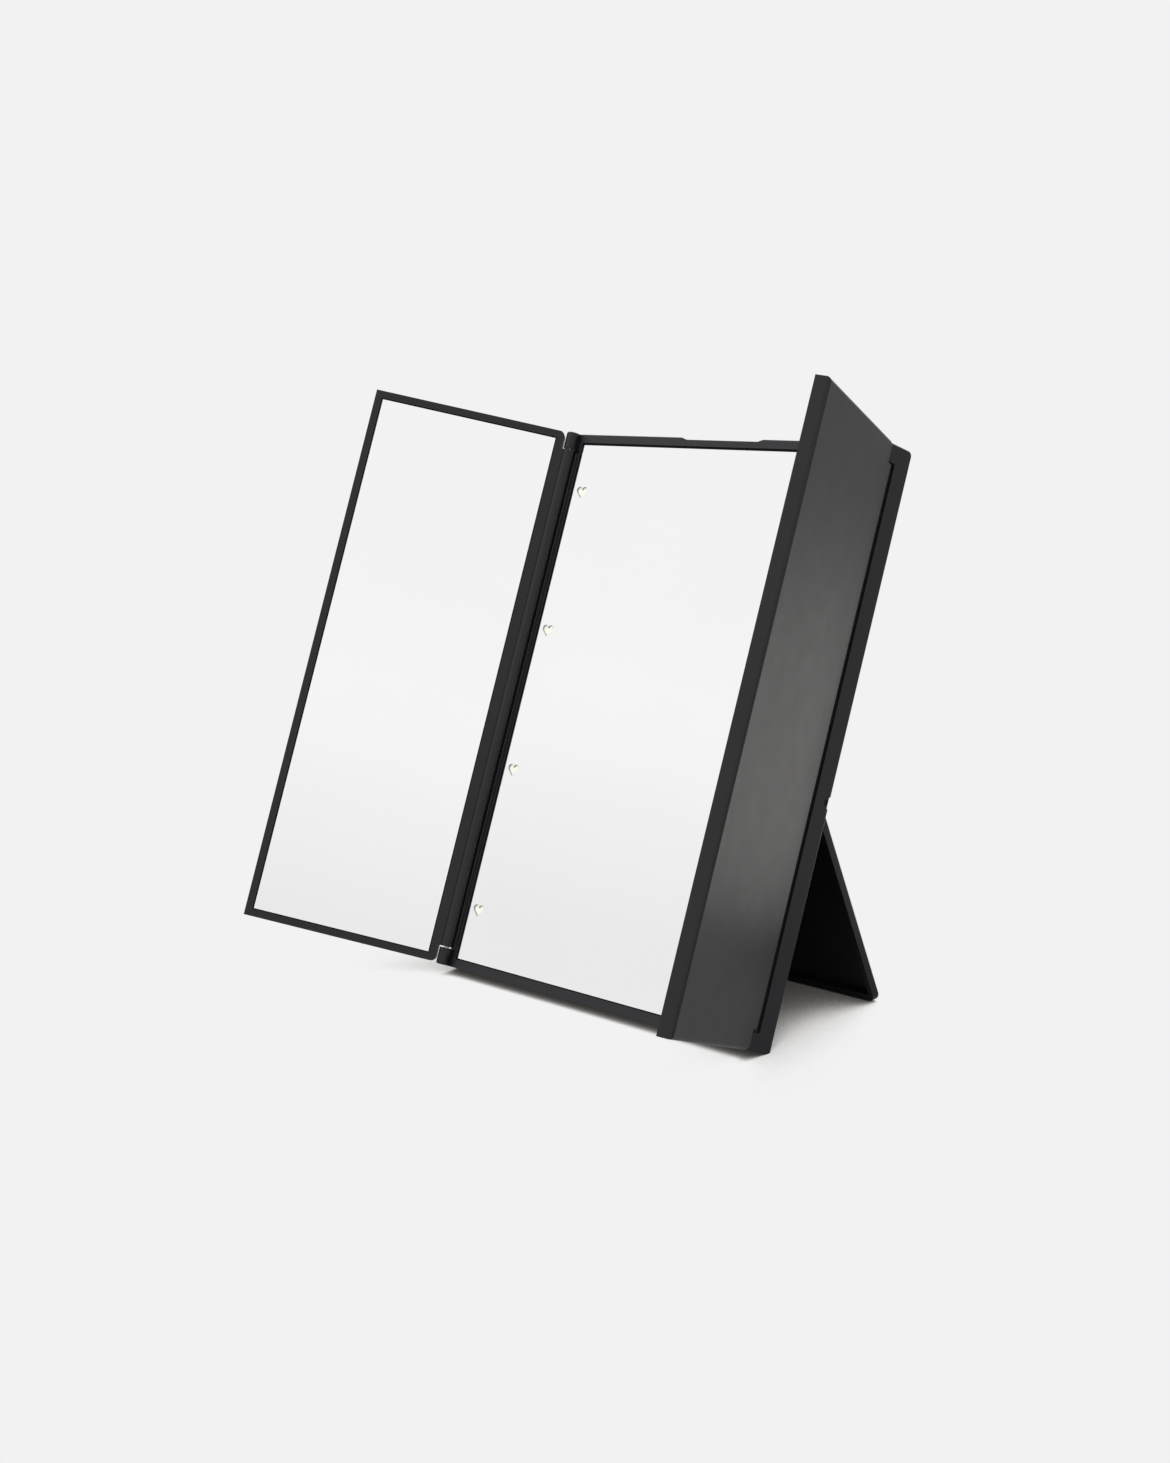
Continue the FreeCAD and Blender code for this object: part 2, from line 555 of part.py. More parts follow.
for side, sx in (("left", -1.0), ("right", 1.0)):
    b = new_body("hinge_pin_" + side)
    sk = sketch(b, "pin_" + side, 0, "XZ_Plane")
    circle(sk, D("hinge_x") * sx, D("hinge_z"), D("pin_dia"))
    pad(b, sk, D("case_ht") - 3.0, True)
    keep(b, "hinge_pin_" + side, CASE)

# ----------------------------------------------------------------------- doors
DI, DO = -D("door_in"), D("door_out")
for side, sx, place in (("left", 1.0, P_LEFT), ("right", -1.0, P_RIGHT)):
    b = new_body(side + "_door_frame")
    slab(b, side + "_panel", DI, DO, [(D("door_start") * sx, -D("door_half"), D("door_reach") * sx, D("door_half"))])
    round_edges(b, lambda a, c: near(a.x, c.x) and near(a.y, c.y) and near(abs(a.x), VAL["door_start"]), VAL["door_corner"], side + "_hinge_corner")
    slab(b, side + "_web", DI, DO, [(D("door_web") * -sx, -D("barrel_half"), (D("door_start") + 3.0) * sx, D("barrel_half"))])
    sk = sketch(b, side + "_barrel", 0, "XZ_Plane")
    circle(sk, 0.0001, 0.0001, D("barrel_rad") * 2)
    pad(b, sk, D("barrel_half") * 2, True)
    well(b, side + "_mirror_seat", DI - 0.5, D("glass") - D("door_mirror") + 0.15,
         [(D("door_frame_in") * sx, -D("door_half") + D("door_frame"), (D("door_reach") - D("door_frame")) * sx, D("door_half") - D("door_frame"))])
    sk = sketch(b, side + "_barrel_bore", 0, "XZ_Plane")
    circle(sk, 0.0001, 0.0001, D("pin_bore"))
    cut(b, sk, D("barrel_half") * 2 + 2, True)
    round_edges(b, lambda a, c: near(a.z, VAL["door_out"]) and near(c.z, VAL["door_out"]), VAL["door_round"], side + "_back_round")
    keep(b, side + "_door_frame", place)

    b = new_body(side + "_door_mirror")
    slab(b, side + "_glass", -D("door_mirror"), D("glass") - D("door_mirror"),
         [((D("door_frame_in") + D("glass_gap")) * sx, -D("door_half") + D("door_frame") + D("glass_gap"),
           (D("door_reach") - D("door_frame") - D("glass_gap")) * sx, D("door_half") - D("door_frame") - D("glass_gap"))])
    keep(b, side + "_door_mirror", place)

    b = new_body(side + "_door_tape")
    slab(b, side + "_tape", D("glass") - D("door_mirror") + 0.01, D("glass") - D("door_mirror") + 0.14,
         [(12 * sx, -86, 62 * sx, 86)])
    keep(b, side + "_door_tape", place)

# ----------------------------------------------------------------------- stand
dt = math.tan(math.radians(VAL["stand_ang"] - VAL["lean"]))
b = new_body("stand_panel")
ht = D("stand_t") / 2
sh_ = D("stand_half")
end = -D("stand_len") + D("foot_out")
sk = sketch(b, "stand_section", 0, "YZ_Plane")
poly(sk, [(end - ht * dt, -ht), (D("heel"), -ht), (D("heel"), 0.8), (0.6, ht), (end + ht * dt, ht)])
pad(b, sk, sh_ * 2, True)
round_edges(b, lambda a, c: near(a.x, c.x) and a.y < -70 and c.y < -70 and near(abs(a.x), VAL["stand_half"]),
            VAL["foot_corner"], "foot_corner_round")
round_edges(b, lambda a, c: near(a.z, -VAL["stand_t"] / 2) and near(c.z, -VAL["stand_t"] / 2), VAL["soft_edge"], "stand_back_round")
well(b, "stand_hollow", -ht + 1.2, ht + 0.5, [(-sh_ + D("lip"), end + 2.8, sh_ - D("lip"), -3.2)])
sk = sketch(b, "stand_pin_bore", 0, "YZ_Plane")
circle(sk, 0.0001, 0.0001, D("pivot_dia") + 0.02)
cut(b, sk, sh_ * 2 + 4, True)
sk = sketch(b, "foot_seats", 0, "YZ_Plane")
poly(sk, [(end - 1.0, -0.9), (end + 1.0, -0.9), (end + 1.0, 0.9), (end - 1.0, 0.9)])
seat = sk
cut(b, sk, (sh_ - 4) * 2, True)
# keep the bar between the two seats
sk = sketch(b, "foot_bar", 0, "YZ_Plane")
poly(sk, [(end - 0.9 * dt, -0.9), (end + 1.0, -0.9), (end + 1.0, 0.9), (end + 0.9 * dt, 0.9)])
pad(b, sk, (sh_ - 20) * 2, True)
keep(b, "stand_panel", P_STAND)

ft_ = []
for sx in (-1, 1):
    y_in = -sval("stand_len") + sval("foot_out") + 0.95
    y_g = -sval("stand_len")
    pts = [FreeCAD.Vector(0, y_g - 0.8 * dt, -0.8), FreeCAD.Vector(0, y_in, -0.8),
           FreeCAD.Vector(0, y_in, 0.8), FreeCAD.Vector(0, y_g + 0.8 * dt, 0.8)]
    face = Part.Face(Part.makePolygon(pts + [pts[0]]))
    foot = face.extrude(FreeCAD.Vector(15.4, 0, 0))
    x_in = sval("stand_half") - 4 - 15.7
    foot.translate(FreeCAD.Vector(x_in if sx > 0 else -x_in - 15.4, 0, 0))
    ft_.append(foot)
f = doc.addObject("Part::Feature", "stand_feet")
f.Shape = Part.makeCompound(ft_)
keep(f, "stand_feet", P_STAND)

pins = []
for sx in (-1, 1):
    x_out = sval("case_w") / 2 - 0.9
    c = Part.makeCylinder(sval("pivot_dia") / 2, 8.0, FreeCAD.Vector(x_out - 8.0 if sx > 0 else -x_out, 0, 0), FreeCAD.Vector(1, 0, 0))
    pins.append(c)
f = doc.addObject("Part::Feature", "stand_pins")
f.Shape = Part.makeCompound(pins)
keep(f, "stand_pins", P_STAND)

# ------------------------------------------------------------- check and write
doc.recompute()
for o in doc.Objects:
    if "Invalid" in o.State or "Error" in o.State:
        raise RuntimeError("bad object %s %s" % (o.Name, o.State))
for name, o in NODES:
    if o.Shape.isNull() or not o.Shape.isValid():
        raise RuntimeError("bad shape " + name)
    o.Shape.exportStep("parts/%s.step" % name)
    bb = o.Shape.BoundBox
    print("%-24s solids %d vol %10.2f  x %8.2f %8.2f  y %8.2f %8.2f  z %8.2f %8.2f" % (
        name, len(o.Shape.Solids), o.Shape.Volume, bb.XMin, bb.XMax, bb.YMin, bb.YMax, bb.ZMin, bb.ZMax))
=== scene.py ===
import json
import math

import bmesh
import bpy
from mathutils import Matrix, Vector


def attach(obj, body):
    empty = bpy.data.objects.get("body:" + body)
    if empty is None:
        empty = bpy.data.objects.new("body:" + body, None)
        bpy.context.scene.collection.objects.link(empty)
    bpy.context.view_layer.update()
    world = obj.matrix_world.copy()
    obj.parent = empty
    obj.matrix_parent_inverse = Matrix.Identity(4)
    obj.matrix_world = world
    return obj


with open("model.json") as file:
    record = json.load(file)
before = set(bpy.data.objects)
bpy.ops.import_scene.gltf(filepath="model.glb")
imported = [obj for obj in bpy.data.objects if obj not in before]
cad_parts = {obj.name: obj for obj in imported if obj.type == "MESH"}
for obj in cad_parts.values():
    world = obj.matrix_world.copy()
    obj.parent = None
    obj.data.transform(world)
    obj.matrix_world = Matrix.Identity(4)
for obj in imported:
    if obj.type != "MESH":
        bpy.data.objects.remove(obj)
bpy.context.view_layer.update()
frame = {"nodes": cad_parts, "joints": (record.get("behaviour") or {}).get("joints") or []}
NODES = frame["nodes"]

# ------------------------------------------------------------------ case axes
# Case axes: x across, y up the case (0 at mid height), z out of the mirror.
joints = {j["name"]: j for j in frame["joints"]}
lh = joints["left_door_hinge"]
up = Vector(lh["axis"]).normalized()
right = Vector((1, 0, 0))
out = right.cross(up).normalized()
HX, HZ = 0.0717, 0.0012
origin = Vector(lh["pos_m"]) + right * HX - out * HZ


def at(x, y, z):
    """Case axes in metres to the row frame."""
    return origin + right * x + up * y + out * z


CASE = Matrix((
    (right.x, up.x, out.x, origin.x),
    (right.y, up.y, out.y, origin.y),
    (right.z, up.z, out.z, origin.z),
    (0, 0, 0, 1),
))


def widest_normal(name):
    """Normal of the largest flat side of a node that looks out of the open mirror."""
    me = NODES[name].data
    best = {}
    for p in me.polygons:
        k = (round(p.normal.x, 2), round(p.normal.y, 2), round(p.normal.z, 2))
        a, n = best.get(k, (0.0, None))
        best[k] = (a + p.area, p.normal.copy())
    two = sorted(best.values(), key=lambda t: -t[0])[:2]
    return max((t[1] for t in two), key=lambda n: n.dot(out))


left_face = widest_normal("left_door_mirror")
right_face = widest_normal("right_door_mirror")

# ------------------------------------------------------------------ materials
def material(name):
    m = bpy.data.materials.new(name)
    m.use_nodes = True
    nt = m.node_tree
    bsdf = nt.nodes["Principled BSDF"]
    return m, nt, bsdf


def node(nt, kind, **sets):
    n = nt.nodes.new(kind)
    for k, v in sets.items():
        if k in n.inputs:
            n.inputs[k].default_value = v
        else:
            setattr(n, k, v)
    return n


def coords(nt, scale=(1, 1, 1)):
    tc = node(nt, "ShaderNodeTexCoord")
    mp = node(nt, "ShaderNodeMapping")
    mp.inputs["Scale"].default_value = scale
    nt.links.new(tc.outputs["Object"], mp.inputs["Vector"])
    return mp.outputs["Vector"]


def ramp(nt, fac, stops):
    r = node(nt, "ShaderNodeValToRGB")
    el = r.color_ramp.elements
    while len(el) < len(stops):
        el.new(0.5)
    for e, (p, c) in zip(el, stops):
        e.position = p
        e.color = (c[0], c[1], c[2], 1)
    nt.links.new(fac, r.inputs["Fac"])
    return r.outputs["Color"]


def span(nt, fac, lo, hi):
    r = node(nt, "ShaderNodeMapRange")
    r.inputs["To Min"].default_value = lo
    r.inputs["To Max"].default_value = hi
    nt.links.new(fac, r.inputs["Value"])
    return r.outputs["Result"]


def plastic(name, dark, light, rough=(0.36, 0.46), grain=5200.0, depth=0.000012, spec=0.5, ior=1.5, cloud=38.0):
    """Moulded plastic: fine spark-eroded grain, slow colour drift, faint handling marks."""
    m, nt, b = material(name)
    v = coords(nt)
    drift = node(nt, "ShaderNodeTexNoise", Scale=cloud, Detail=4.0, Roughness=0.55)
    nt.links.new(v, drift.inputs["Vector"])
    nt.links.new(ramp(nt, drift.outputs["Fac"], [(0.3, dark), (0.7, light)]), b.inputs["Base Color"])
    rub = node(nt, "ShaderNodeTexNoise", Scale=cloud * 3.1, Detail=6.0, Roughness=0.62)
    nt.links.new(v, rub.inputs["Vector"])
    nt.links.new(span(nt, rub.outputs["Fac"], rough[0], rough[1]), b.inputs["Roughness"])
    cell = node(nt, "ShaderNodeTexVoronoi", Scale=grain)
    nt.links.new(v, cell.inputs["Vector"])
    fine = node(nt, "ShaderNodeTexNoise", Scale=grain * 0.55, Detail=3.0)
    nt.links.new(v, fine.inputs["Vector"])
    mix = node(nt, "ShaderNodeMath", operation="ADD")
    nt.links.new(cell.outputs["Distance"], mix.inputs[0])
    nt.links.new(fine.outputs["Fac"], mix.inputs[1])
    bump = node(nt, "ShaderNodeBump")
    bump.inputs["Distance"].default_value = depth
    bump.inputs["Strength"].default_value = 0.5
    nt.links.new(mix.outputs[0], bump.inputs["Height"])
    nt.links.new(bump.outputs["Normal"], b.inputs["Normal"])
    b.inputs["IOR"].default_value = ior
    b.inputs["Specular IOR Level"].default_value = spec
    return m


def metal(name, colour, rough=(0.2, 0.34), streak=(900, 60, 60)):
    m, nt, b = material(name)
    v = coords(nt, streak)
    n = node(nt, "ShaderNodeTexNoise", Scale=4.0, Detail=5.0, Roughness=0.6)
    nt.links.new(v, n.inputs["Vector"])
    lo = [c * 0.82 for c in colour]
    nt.links.new(ramp(nt, n.outputs["Fac"], [(0.25, lo), (0.75, colour)]), b.inputs["Base Color"])
    nt.links.new(span(nt, n.outputs["Fac"], rough[0], rough[1]), b.inputs["Roughness"])
    b.inputs["Metallic"].default_value = 1.0
    bump = node(nt, "ShaderNodeBump")
    bump.inputs["Distance"].default_value = 0.00001
    bump.inputs["Strength"].default_value = 0.35
    nt.links.new(n.outputs["Fac"], bump.inputs["Height"])
    nt.links.new(bump.outputs["Normal"], b.inputs["Normal"])
    return m


def mirror_glass(name, front):
    """Silvered glass: full reflection under a faint film; the sides are ground, and their near-black colour is painted
    shade for the gaps and window walls around the glass.
    """
    m, nt, b = material(name)
    v = coords(nt)
    film = node(nt, "ShaderNodeTexNoise", Scale=22.0, Detail=7.0, Roughness=0.6)
    nt.links.new(v, film.inputs["Vector"])
    face = ramp(nt, film.outputs["Fac"], [(0.3, (0.945, 0.948, 0.947)), (0.7, (0.955, 0.957, 0.956))])
    grind = node(nt, "ShaderNodeTexNoise", Scale=1800.0, Detail=3.0)
    nt.links.new(v, grind.inputs["Vector"])
    # painted shade: the ground sides get a near-black colour that darkens the gaps and window walls around the glass
    side = ramp(nt, grind.outputs["Fac"], [(0.3, (0.040, 0.048, 0.045)), (0.7, (0.075, 0.088, 0.082))])
    tc = node(nt, "ShaderNodeTexCoord")
    dot = node(nt, "ShaderNodeVectorMath", operation="DOT_PRODUCT")
    dot.inputs[1].default_value = tuple(front)
    nt.links.new(tc.outputs["Normal"], dot.inputs[0])
    mask = node(nt, "ShaderNodeMath", operation="GREATER_THAN")
    mask.inputs[1].default_value = 0.9
    nt.links.new(dot.outputs["Value"], mask.inputs[0])
    mix = node(nt, "ShaderNodeMix", data_type="RGBA")
    nt.links.new(mask.outputs[0], mix.inputs["Factor"])
    nt.links.new(side, mix.inputs[6])
    nt.links.new(face, mix.inputs[7])
    nt.links.new(mix.outputs[2], b.inputs["Base Color"])
    flat = span(nt, film.outputs["Fac"], 0.0, 0.003)
    rough = node(nt, "ShaderNodeMix")
    nt.links.new(mask.outputs[0], rough.inputs[0])
    rough.inputs[2].default_value = 0.35
    nt.links.new(flat, rough.inputs[3])
    nt.links.new(rough.outputs[0], b.inputs["Roughness"])
    b.inputs["Metallic"].default_value = 1.0
    return m


def diffuser(name):
    """Translucent pale moulding behind the windows, with a faint painted glow from emission although the lamps behind
    it are not lit.
    """
    m, nt, b = material(name)
    v = coords(nt)
    n = node(nt, "ShaderNodeTexNoise", Scale=260.0, Detail=3.0)
    nt.links.new(v, n.inputs["Vector"])
    nt.links.new(ramp(nt, n.outputs["Fac"], [(0.3, (0.80, 0.80, 0.69)), (0.7, (0.88, 0.88, 0.79))]), b.inputs["Base Color"])
    nt.links.new(span(nt, n.outputs["Fac"], 0.18, 0.3), b.inputs["Roughness"])
    b.inputs["Subsurface Weight"].default_value = 0.15
    b.inputs["Subsurface Radius"].default_value = (0.001, 0.001, 0.0008)
    b.inputs["Subsurface Scale"].default_value = 0.6
    # painted glow: a weak emission brightens the window moulding though no lamp lights it
    b.inputs["Emission Color"].default_value = (1.0, 1.0, 0.90, 1)
    b.inputs["Emission Strength"].default_value = 0.24
    return m


def soft(name, dark, light, scale=900.0, rough=(0.75, 0.9), depth=0.00006):
    """Foam tape, rubber and solder mask."""
    m, nt, b = material(name)
    v = coords(nt)
    n = node(nt, "ShaderNodeTexNoise", Scale=scale, Detail=4.0, Roughness=0.6)
    nt.links.new(v, n.inputs["Vector"])
    nt.links.new(ramp(nt, n.outputs["Fac"], [(0.3, dark), (0.7, light)]), b.inputs["Base Color"])
    nt.links.new(span(nt, n.outputs["Fac"], rough[0], rough[1]), b.inputs["Roughness"])
    bump = node(nt, "ShaderNodeBump")
    bump.inputs["Distance"].default_value = depth
    bump.inputs["Strength"].default_value = 0.5
    nt.links.new(n.outputs["Fac"], bump.inputs["Height"])
    nt.links.new(bump.outputs["Normal"], b.inputs["Normal"])
    return m


MAT = {
    "case": plastic("case_black", (0.0040, 0.0043, 0.0056), (0.0062, 0.0066, 0.0088), (0.33, 0.43), spec=0.40),
    "door": plastic("door_black", (0.0050, 0.0050, 0.0050), (0.0075, 0.0074, 0.0074), (0.33, 0.43), spec=0.39),
    "stand": plastic("stand_black", (0.0035, 0.0038, 0.0038), (0.0052, 0.0056, 0.0055), (0.36, 0.46), spec=0.34),
    "mirror": mirror_glass("silvered_glass", out),
    "mirror_l": mirror_glass("silvered_glass_left", left_face),
    "mirror_r": mirror_glass("silvered_glass_right", right_face),
    "lens": diffuser("window_diffuser"),
    # painted shade: grey lining that darkens the walls of the heart windows
    "painted_shade_lining": soft("window_shade_lining", (0.34, 0.34, 0.315), (0.42, 0.42, 0.39), 1400.0, (0.45, 0.6), 0.00001),
    "tape": soft("foam_tape", (0.62, 0.62, 0.60), (0.78, 0.78, 0.76)),
    "board": soft("board_mask", (0.55, 0.60, 0.56), (0.68, 0.72, 0.68), 300.0, (0.3, 0.45), 0.00002),
    "lamp": soft("lamp_phosphor", (0.75, 0.62, 0.22), (0.88, 0.78, 0.36), 1500.0, (0.25, 0.4), 0.00001),
    "inner": plastic("inner_black", (0.016, 0.016, 0.016), (0.024, 0.024, 0.024), (0.42, 0.55)),
    "cell": metal("cell_steel", (0.72, 0.72, 0.71)),
    "spring": metal("contact_metal", (0.78, 0.74, 0.62), (0.18, 0.3)),
    "can": metal("switch_can", (0.70, 0.70, 0.69), (0.25, 0.4)),
    "knob": plastic("knob_black", (0.018, 0.018, 0.019), (0.030, 0.030, 0.031), (0.40, 0.52)),
    "chip": plastic("chip_black", (0.012, 0.012, 0.012), (0.020, 0.020, 0.020), (0.30, 0.42)),
    "red": soft("lead_red", (0.42, 0.02, 0.015), (0.55, 0.035, 0.025), 400.0, (0.28, 0.4), 0.00001),
    "blk": soft("lead_black", (0.010, 0.010, 0.010), (0.022, 0.022, 0.022), 400.0, (0.28, 0.4), 0.00001),
    "screw": metal("screw_zinc", (0.62, 0.62, 0.61), (0.25, 0.4), (300, 300, 300)),
    "pin": metal("pin_steel", (0.60, 0.60, 0.61), (0.18, 0.3), (60, 900, 60)),
    # the stand pins are given a near-black steel colour, darker than the hinge pins
    "pin_black": metal("pin_near_black", (0.020, 0.020, 0.021), (0.38, 0.52), (60, 900, 60)),
    # painted shade: near-black strip for the shadow gap around the centre mirror
    "gap_shade": soft("gap_shade_strip", (0.004, 0.004, 0.0045), (0.007, 0.007, 0.008), 1600.0, (0.55, 0.7), 0.00001),
    "rubber": soft("foot_rubber", (0.012, 0.012, 0.012), (0.022, 0.022, 0.022), 1400.0, (0.8, 0.92), 0.00005),
}
# the painted shade strip barely reflects, so it stays dark
MAT["gap_shade"].node_tree.nodes["Principled BSDF"].inputs["Specular IOR Level"].default_value = 0.05
MAT["case"].node_tree.nodes["Principled BSDF"].inputs["Specular Tint"].default_value = (0.97, 0.96, 1.0, 1)
USE = {
    "base_frame": "case", "back_cover": "case", "battery_hatch": "case",
    "centre_mirror": "mirror", "left_door_mirror": "mirror_l", "right_door_mirror": "mirror_r",
    "centre_mirror_tape": "tape", "left_door_tape": "tape", "right_door_tape": "tape",
    "heart_lens_left": "lens", "heart_lens_right": "lens",
    "led_board_left": "board", "led_board_right": "board", "control_board": "board",
    "leds_left": "lamp", "leds_right": "lamp", "battery_holder": "inner", "coin_cells": "cell",
    "battery_contact_plus": "spring", "battery_contact_minus": "spring", "battery_bridge": "spring",
    "switch_body": "can", "resistors": "chip", "wires_red": "red", "wires_black": "blk",
    "case_screws": "screw", "hinge_pin_left": "pin", "hinge_pin_right": "pin", "stand_pins": "pin_black",
    "switch_knob": "knob", "left_door_frame": "door", "right_door_frame": "door",
    "stand_panel": "stand", "stand_feet": "rubber",
}
for name, key in USE.items():
    o = NODES[name]
    o.data.materials.clear()
    o.data.materials.append(MAT[key])

# small moulded and ground edges
EDGE = {
    "base_frame": 0.00030, "back_cover": 0.00018, "battery_hatch": 0.00015,
    "left_door_frame": 0.00032, "right_door_frame": 0.00032, "stand_panel": 0.00030,
    "centre_mirror": 0.00010, "left_door_mirror": 0.00016, "right_door_mirror": 0.00016,
    "switch_knob": 0.00010,
}
for name, w in EDGE.items():
    o = NODES[name]
    bv = o.modifiers.new("edge", "BEVEL")
    bv.width = w
    bv.segments = 2
    bv.limit_method = "ANGLE"
    bv.angle_limit = math.radians(38)
    bv.harden_normals = False
    bv.use_clamp_overlap = True

# ------------------------------------------------------- painted shade linings in the windows
def heart(w, h, n=56):
    raw = []
    for i in range(n):
        t = 2 * math.pi * i / n
        raw.append((16 * math.sin(t) ** 3,
                    13 * math.cos(t) - 5 * math.cos(2 * t) - 2 * math.cos(3 * t) - math.cos(4 * t)))
    x0, x1 = min(p[0] for p in raw), max(p[0] for p in raw)
    y0, y1 = min(p[1] for p in raw), max(p[1] for p in raw)
    return [((p[0] - (x0 + x1) / 2) * w / (x1 - x0), (p[1] - (y0 + y1) / 2) * h / (y1 - y0)) for p in raw]


def painted_shade_lining(name, cx):
    """Thin grey lining of the four windows on one side; its grey is painted shade on the window walls."""
    me = bpy.data.meshes.new(name)
    bm = bmesh.new()
    outer, inner = heart(0.00518, 0.00418), heart(0.00498, 0.00398)
    n = len(outer)
    for k in range(4):
        cy = (1.5 - k) * 0.0495
        rings = []
        for pts, z in ((outer, -0.00094), (outer, -0.00042), (inner, -0.00047), (inner, -0.00094)):
            rings.append([bm.verts.new(at(cx + a, cy + b_, z)) for a, b_ in pts])
        for r in range(4):
            a, b_ = rings[r], rings[(r + 1) % 4]
            for i in range(n):
                j = (i + 1) % n
                bm.faces.new((a[i], a[j], b_[j], b_[i]))
    bmesh.ops.recalc_face_normals(bm, faces=bm.faces)
    bm.to_mesh(me)
    bm.free()
    o = bpy.data.objects.new(name, me)
    bpy.context.scene.collection.objects.link(o)
    o.data.materials.append(MAT["painted_shade_lining"])
    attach(o, "case")
    return o


painted_shade_lining("window_shade_linings_left", -0.0621)
painted_shade_lining("window_shade_linings_right", 0.0621)


def gap_shade_strip(name):
    """Thin black strip of painted shade that fills the gap between the glass and the rim on three sides, where the gap
    lies in shadow.
    """
    me = bpy.data.meshes.new(name)
    bm = bmesh.new()
    xo, yo = 0.06708, 0.09198
    ws, wt = 0.00045, 0.00072
    outer = [(-xo, -yo), (-xo, yo), (xo, yo), (xo, -yo)]
    inner = [(-xo + ws, -yo), (-xo + ws, yo - wt), (xo - ws, yo - wt), (xo - ws, -yo)]
    top, low = -0.00034, -0.00048
    ring = []
    for pts, z in ((outer, low), (outer, top), (inner, top - 0.00004), (inner, low)):
        ring.append([bm.verts.new(at(x, y, z)) for x, y in pts])
    for r in range(4):
        a, c = ring[r], ring[(r + 1) % 4]
        for i in range(3):
            bm.faces.new((a[i], a[i + 1], c[i + 1], c[i]))
    for i in (0, 3):
        bm.faces.new([ring[r][i] for r in range(4)])
    bmesh.ops.recalc_face_normals(bm, faces=bm.faces)
    bm.to_mesh(me)
    bm.free()
    o = bpy.data.objects.new(name, me)
    bpy.context.scene.collection.objects.link(o)
    o.data.materials.append(MAT["gap_shade"])
    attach(o, "case")
    return o


gap_shade_strip("centre_mirror_gap_shade_strip")

# ------------------------------------------------------------------- the room
def plane(name, size, z):
    me = bpy.data.meshes.new(name)
    bm = bmesh.new()
    bmesh.ops.create_grid(bm, x_segments=8, y_segments=8, size=size)
    bm.to_mesh(me)
    bm.free()
    o = bpy.data.objects.new(name, me)
    o.location = (0, 0, z)
    bpy.context.scene.collection.objects.link(o)
    return o


floor = plane("floor", 14.0, -0.00005)
m = bpy.data.materials.new("floor_pale")
m.use_nodes = True
nt = m.node_tree
nt.nodes.remove(nt.nodes["Principled BSDF"])
# painted shadow: ambient occlusion drives the floor's emitted colour, darkening it warm grey under and around the case
# and inside the stand
ao = node(nt, "ShaderNodeAmbientOcclusion", samples=16)
ao.inputs["Distance"].default_value = 0.11
shade = ramp(nt, ao.outputs["AO"], [
    (0.00, (0.018, 0.017, 0.016)), (0.10, (0.045, 0.043, 0.041)), (0.20, (0.115, 0.111, 0.107)),
    (0.30, (0.31, 0.302, 0.294)), (0.40, (0.60, 0.592, 0.584)), (0.48, (0.83, 0.827, 0.824)), (0.54, (0.8879, 0.8879, 0.8879))])
em = node(nt, "ShaderNodeEmission")
nt.links.new(shade, em.inputs["Color"])
# the sweep is lit to background white, and mirrors show it so; what it sends to the plastics is dimmer
seen = node(nt, "ShaderNodeLightPath")
full = node(nt, "ShaderNodeMath", operation="MAXIMUM")
nt.links.new(seen.outputs["Is Camera Ray"], full.inputs[0])
nt.links.new(seen.outputs["Is Singular Ray"], full.inputs[1])
nt.links.new(span(nt, full.outputs[0], 0.50, 1.0), em.inputs["Strength"])
nt.links.new(em.outputs[0], nt.nodes["Material Output"].inputs["Surface"])
floor.data.materials.append(m)

world = bpy.data.worlds.new("studio")
bpy.context.scene.world = world
world.use_nodes = True
wn = world.node_tree
bg = wn.nodes["Background"]
tc = wn.nodes.new("ShaderNodeTexCoord")
dp = wn.nodes.new("ShaderNodeVectorMath")
dp.operation = "DOT_PRODUCT"
dp.inputs[1].default_value = (0.0247, 0.465, 0.885)
wn.links.new(tc.outputs["Generated"], dp.inputs[0])
mr = wn.nodes.new("ShaderNodeMapRange")
mr.inputs["From Min"].default_value = -0.20
mr.inputs["From Max"].default_value = 0.30
wn.links.new(dp.outputs["Value"], mr.inputs["Value"])
rp = wn.nodes.new("ShaderNodeValToRGB")
el = rp.color_ramp.elements
stops = [(-0.055, 0.815), (-0.020, 0.855), (0.0, 0.874), (0.018, 0.899), (0.045, 0.906), (0.085, 0.893), (0.12, 0.888)]
while len(el) < len(stops):
    el.new(0.5)
for e, (p, c) in zip(el, stops):
    e.position = (p + 0.20) / 0.50
    e.color = (c / 0.95, c / 0.95, c / 0.95, 1)
wn.links.new(mr.outputs["Result"], rp.inputs["Fac"])
wn.links.new(rp.outputs["Color"], bg.inputs["Color"])
bg.inputs["Strength"].default_value = 1.0
plain = wn.nodes.new("ShaderNodeBackground")
plain.inputs["Color"].default_value = (0.8879, 0.8879, 0.8879, 1)
path = wn.nodes.new("ShaderNodeLightPath")
wmix = wn.nodes.new("ShaderNodeMixShader")
wn.links.new(path.outputs["Is Camera Ray"], wmix.inputs[0])
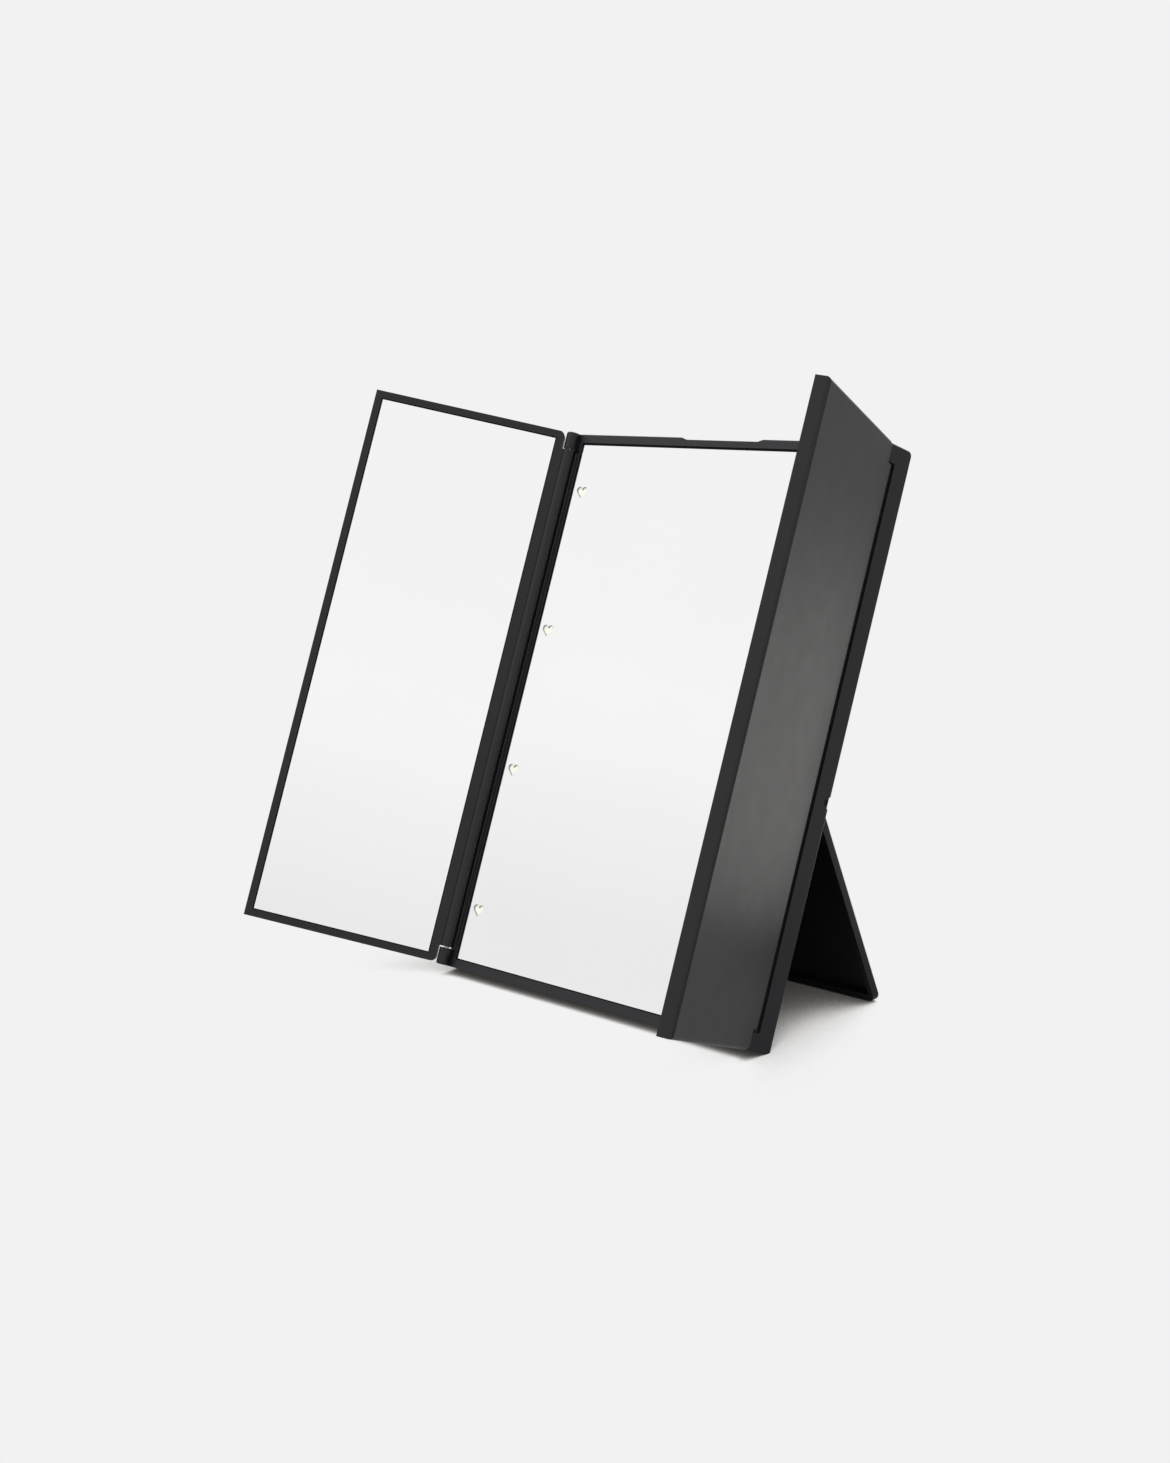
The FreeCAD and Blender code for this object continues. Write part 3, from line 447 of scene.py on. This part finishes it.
wn.links.new(bg.outputs[0], wmix.inputs[1])
wn.links.new(plain.outputs[0], wmix.inputs[2])
wn.links.new(wmix.outputs[0], wn.nodes["World Output"].inputs["Surface"])


def area(name, loc, look, size, power, colour=(1, 1, 1)):
    L = bpy.data.lights.new(name, "AREA")
    L.shape = "RECTANGLE"
    L.size = size[0]
    L.size_y = size[1]
    L.energy = power
    L.color = colour
    o = bpy.data.objects.new(name, L)
    o.location = loc
    o.rotation_euler = (Vector(look) - Vector(loc)).to_track_quat("-Z", "Y").to_euler()
    bpy.context.scene.collection.objects.link(o)
    return o


area("key", (-0.72, -0.74, 1.58), (0, 0, 0.1), (0.65, 0.65), 7.0)
glow = area("low_fill", (0.064, 0.315, 0.004), (0.064, 0.315, 1.0), (0.26, 0.46), 0.190, (1.0, 0.97, 0.94))
glow.data.shape = "ELLIPSE"
glow.visible_camera = False

# --------------------------------------------------------------------- camera
CAM_POS = (0.57378088, 0.02727088 - 0.095, 0.55174298)
IX = Vector((0.66766098, 0.23736821, -0.70560977))
IY = Vector((0.10790896, -0.96865422, -0.22375131))
IZ = Vector((-0.73660333, 0.0732484, -0.67234678))
FOCAL_PX = 2457.657


def turn(vec):
    return right * vec[0] + up * vec[1] + out * vec[2]


cam_data = bpy.data.cameras.new("camera")
cam_data.sensor_fit = "AUTO"
cam_data.sensor_width = 36.0
cam_data.lens = 36.0 * FOCAL_PX / 1463.0
cam_data.clip_start = 0.01
cam_data.clip_end = 100.0
cam = bpy.data.objects.new("camera", cam_data)
bpy.context.scene.collection.objects.link(cam)
cx, cy, cz = turn(IX).normalized(), -turn(IY).normalized(), -turn(IZ).normalized()
loc = at(*CAM_POS)
cam.matrix_world = Matrix((
    (cx.x, cy.x, cz.x, loc.x),
    (cx.y, cy.y, cz.y, loc.y),
    (cx.z, cy.z, cz.z, loc.z),
    (0, 0, 0, 1),
))
bpy.context.scene.camera = cam
bpy.context.scene.view_settings.view_transform = "Standard"
bpy.context.scene.view_settings.look = "None"

bpy.context.view_layer.update()
